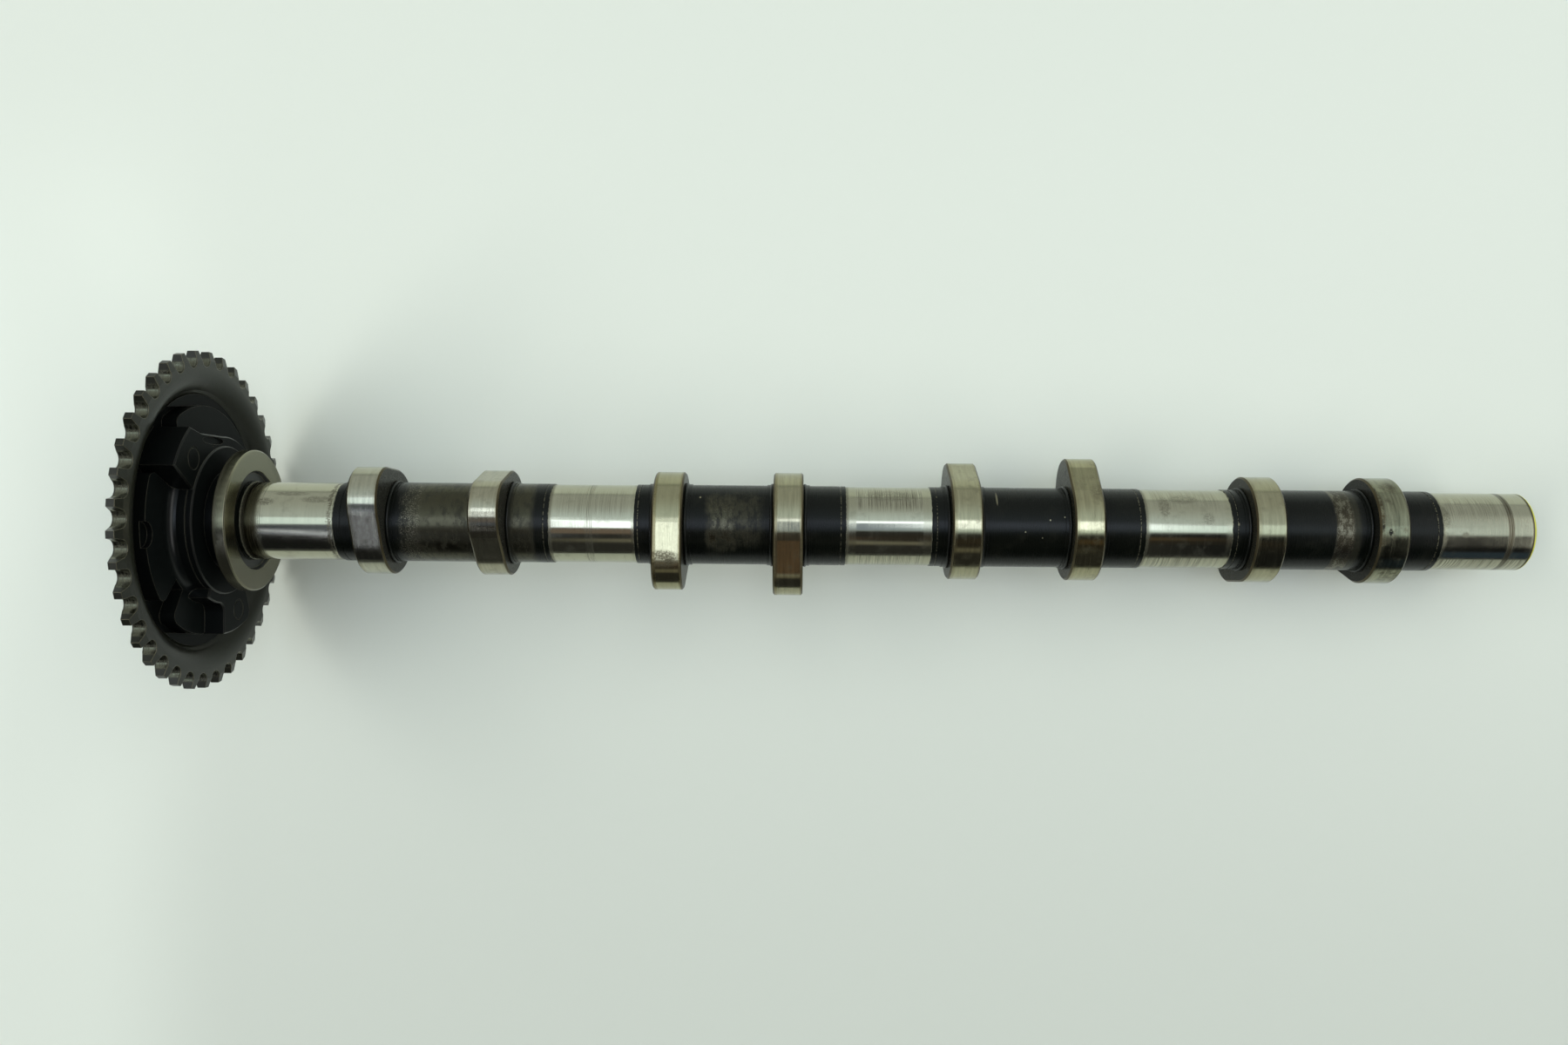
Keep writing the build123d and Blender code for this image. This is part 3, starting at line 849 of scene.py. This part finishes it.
@dataclass
class Studio:
    """Floor, light and camera."""

    camera_place: Place = (0.179152, 0.000860, 0.362439)
    camera_right: Place = (0.999892, 0.009290, -0.011362)
    camera_up: Place = (-0.009290, 0.999957, 0.0)
    lens: float = 27.685
    sensor: float = 36.0
    clip: float = 0.01
    floor_half: float = 4.0
    floor_colour: Colour = (0.80, 0.83, 0.73)
    floor_roughness: float = 0.45
    floor_specular: float = 0.3
    # Painted light and shade in the floor's colour: lighter beyond the sprocket, darker towards the
    # lower side and far away.
    painted_shade_fall: float = 0.20
    painted_light_gain: float = 0.13
    painted_shade_fall_side: Range = (-120.0, 200.0)
    painted_light_end: Range = (10.0, 70.0)
    painted_light_side: Range = (40.0, 170.0)
    far_wall_side: Range = (180.0, 480.0)
    far_room_side: Range = (180.0, 420.0)
    far_wall_painted_shade: float = 0.45
    far_room_painted_shade: float = 0.93
    end_wall_fall: float = 0.55
    axis_guard: float = 0.0001
    tooth_tip_half: float = 1.15 * MM
    wall_rise: Range = (0.25, 0.95)
    wall_edge: Range = (-0.30, -0.12)
    end_edge: Range = (0.26, 0.34)
    low_edge: Range = (0.60, 0.80)
    side_band: Band = Band(0.57, 0.76, 1.0, 0.05)
    side_edge: Range = (0.68, 0.80)
    wall_low: Colour = (0.51, 0.55, 0.52)
    wall_high: Colour = (0.83, 0.98, 1.05)
    dark_near: Colour = (0.038, 0.038, 0.036)
    dark_far: Colour = (0.014, 0.015, 0.016)
    side_lamp: Colour = (3.65, 3.70, 3.60)
    low_ends: Colour = (0.20, 0.21, 0.20)
    areas: tuple[Glow, ...] = (
        Glow(-0.315, 0.095, -0.40, 0.27, (0.150, 0.175, 0.230), 0.05),
        Glow(-0.16, 0.10, -0.36, 0.14, (0.230, 0.180, 0.150), 0.06),
        Glow(0.0, 0.18, -0.77, 0.06, (0.225, 0.215, 0.170), 0.05),
        Glow(-0.01, 0.04, -0.70, 0.05, (0.33, 0.33, 0.29), 0.03),
        Glow(-0.02, 0.05, -0.60, 0.07, (0.175, 0.115, 0.075), 0.03),
        Glow(0.20, 0.13, -0.56, 0.16, (0.038, 0.033, 0.026), 0.05),
        Glow(0.25, 0.06, -0.50, 0.08, (0.100, 0.070, 0.040), 0.04),
        Glow(-0.365, 0.06, -0.63, 0.032, (2.10, 2.25, 2.80), 0.02, -3.6),
        Glow(0.54, 0.10, -0.96, 0.06, (0.036, 0.055, 0.080), 0.04),
        Glow(-0.035, 0.49, 0.005, 0.17, (1.18, 1.43, 1.54), 0.035),
        Glow(-0.19, 0.12, -0.03, 0.18, LAMP, 0.035),
        Glow(0.0925, 0.1825, 0.085, 0.155, LAMP, 0.035),
        Glow(-0.25, 0.03, 0.19, 0.11, LAMP, 0.03),
        Glow(-0.24, 0.035, -0.09, 0.21, (0.16, 0.15, 0.13), 0.03),
        Glow(-0.107, 0.03, 0.14, 0.035, (0.75, 0.88, 0.92), 0.03),
        Glow(0.0225, 0.0875, -0.03, 0.18, (0.34, 0.41, 0.55), 0.03),
        Glow(-0.01, 0.025, 0.23, 0.06, (0.74, 0.80, 0.95), 0.03),
    )

    def floor(self) -> None:
        """Builds a large pale floor that the teeth and the last lobe touch, with painted light and
        shade in its colour.
        """
        ring_low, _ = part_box("sprocket_ring")
        lobe_low, lobe_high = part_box("cam_lobe_8")
        rise = (lobe_low.z - ring_low.z) / (lobe_high.x - self.tooth_tip_half)
        shape = bmesh.new()
        bmesh.ops.create_grid(shape, x_segments=8, y_segments=8, size=self.floor_half)
        bmesh.ops.rotate(shape, verts=shape.verts, matrix=Matrix.Rotation(-math.atan(rise), 3, "Y"))
        height = ring_low.z - rise * self.tooth_tip_half
        bmesh.ops.translate(shape, verts=shape.verts, vec=(0, 0, height))
        mesh = bpy.data.meshes.new("floor")
        shape.to_mesh(mesh)
        shape.free()
        floor = bpy.data.objects.new("floor", mesh)
        bpy.context.scene.collection.objects.link(floor)
        material, graph = new_material("pale_floor")
        x, y, _ = graph.parts(graph.place())
        # Painted light: the floor is lighter beyond the sprocket, away from the shaft, where the
        # sprocket's shadow falls.
        painted_light = graph.step(-x, *self.painted_light_end) * (1 - graph.step(y, *self.painted_light_side))
        painted_light = painted_light * self.painted_light_gain
        # Painted shade: the floor darkens towards the lower side and far away on both sides.
        tone = 1 + painted_light - graph.step(-y, *self.painted_shade_fall_side) * self.painted_shade_fall
        tone = tone * (1 - graph.step(y, *self.far_wall_side) * self.far_wall_painted_shade)
        tone = tone * (1 - graph.step(-y, *self.far_room_side) * self.far_room_painted_shade)
        colour = graph.blend(1.0, self.floor_colour, graph.joined(tone, tone, tone), "MULTIPLY")
        shader = graph.node(
            "ShaderNodeBsdfPrincipled",
            inputs={
                "Base Color": colour,
                "Roughness": self.floor_roughness,
                "Specular IOR Level": self.floor_specular,
            },
        )
        graph.node("ShaderNodeOutputMaterial", inputs={"Surface": shader})
        mesh.materials.append(material)

    def world(self) -> None:
        """Lights it: a pale wall on one side, a dark room on the other, lamps above and at the ends."""
        world = bpy.data.worlds.new("studio")
        world.use_nodes = True
        bpy.context.scene.world = world
        graph = Graph(world.node_tree)
        x, y, _ = graph.parts(graph.node("ShaderNodeTexCoord", output="Generated"))
        around = y / graph.maths("SQRT", graph.maths("MAXIMUM", 1 - x * x, self.axis_guard))
        far = graph.step(abs(x), *self.end_edge)
        high = (1 - graph.step(around, *self.wall_rise)) * (1 - far * self.end_wall_fall)
        wall = graph.blend(high, self.wall_low, self.wall_high)
        dark = graph.blend(far, self.dark_near, self.dark_far)
        light = graph.blend(graph.step(around, *self.wall_edge), dark, wall)
        for area in self.areas:
            light = graph.blend(area.mask(graph, x, around), light, area.colour)
        sides = self.side_band.mask(graph, abs(x)) * (1 - graph.step(abs(around), *self.side_edge))
        light = graph.blend(graph.step(abs(x), *self.low_edge), light, self.low_ends)
        light = graph.blend(sides, light, self.side_lamp)
        shader = graph.node("ShaderNodeBackground", inputs={"Color": light, "Strength": 1.0})
        graph.node("ShaderNodeOutputWorld", inputs={"Surface": shader})

    def camera(self) -> None:
        """The camera, above the shaft and looking almost straight down."""
        right, up = Vector(self.camera_right), Vector(self.camera_up)
        back = right.cross(up)
        turn = Matrix((right, back.cross(right), back)).transposed()
        data = bpy.data.cameras.new("camera")
        data.lens = self.lens
        data.sensor_fit = "HORIZONTAL"
        data.sensor_width = self.sensor
        data.clip_start = self.clip
        camera = bpy.data.objects.new("camera", data)
        camera.matrix_world = Matrix.Translation(self.camera_place) @ turn.to_4x4()
        bpy.context.scene.collection.objects.link(camera)
        bpy.context.scene.camera = camera

    def build(self) -> None:
        """Builds the whole studio."""
        self.floor()
        self.world()
        self.camera()
        bpy.context.scene.view_settings.view_transform = "Standard"


@dataclass
class Camshaft:
    """The whole camshaft."""

    tube: CamshaftTube = field(default_factory=CamshaftTube)
    lobes: CamLobes = field(default_factory=CamLobes)
    thrust_ring: ThrustRing = field(default_factory=ThrustRing)
    chain_ring: ChainRing = field(default_factory=ChainRing)
    hub: SprocketHub = field(default_factory=SprocketHub)

    def dress(self, nodes: dict[str, bpy.types.Object]) -> None:
        """Dresses each sub-assembly in order."""
        for part in (self.tube, self.lobes, self.thrust_ring, self.chain_ring, self.hub):
            part.dress(nodes)


def main() -> None:
    """Loads the frame, dresses the camshaft and builds the studio."""
    logging.basicConfig(level=logging.INFO, format="%(name)s: %(message)s")
    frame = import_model()
    Camshaft().dress(frame["nodes"])
    Studio().build()


if __name__ == "__main__":
    main()
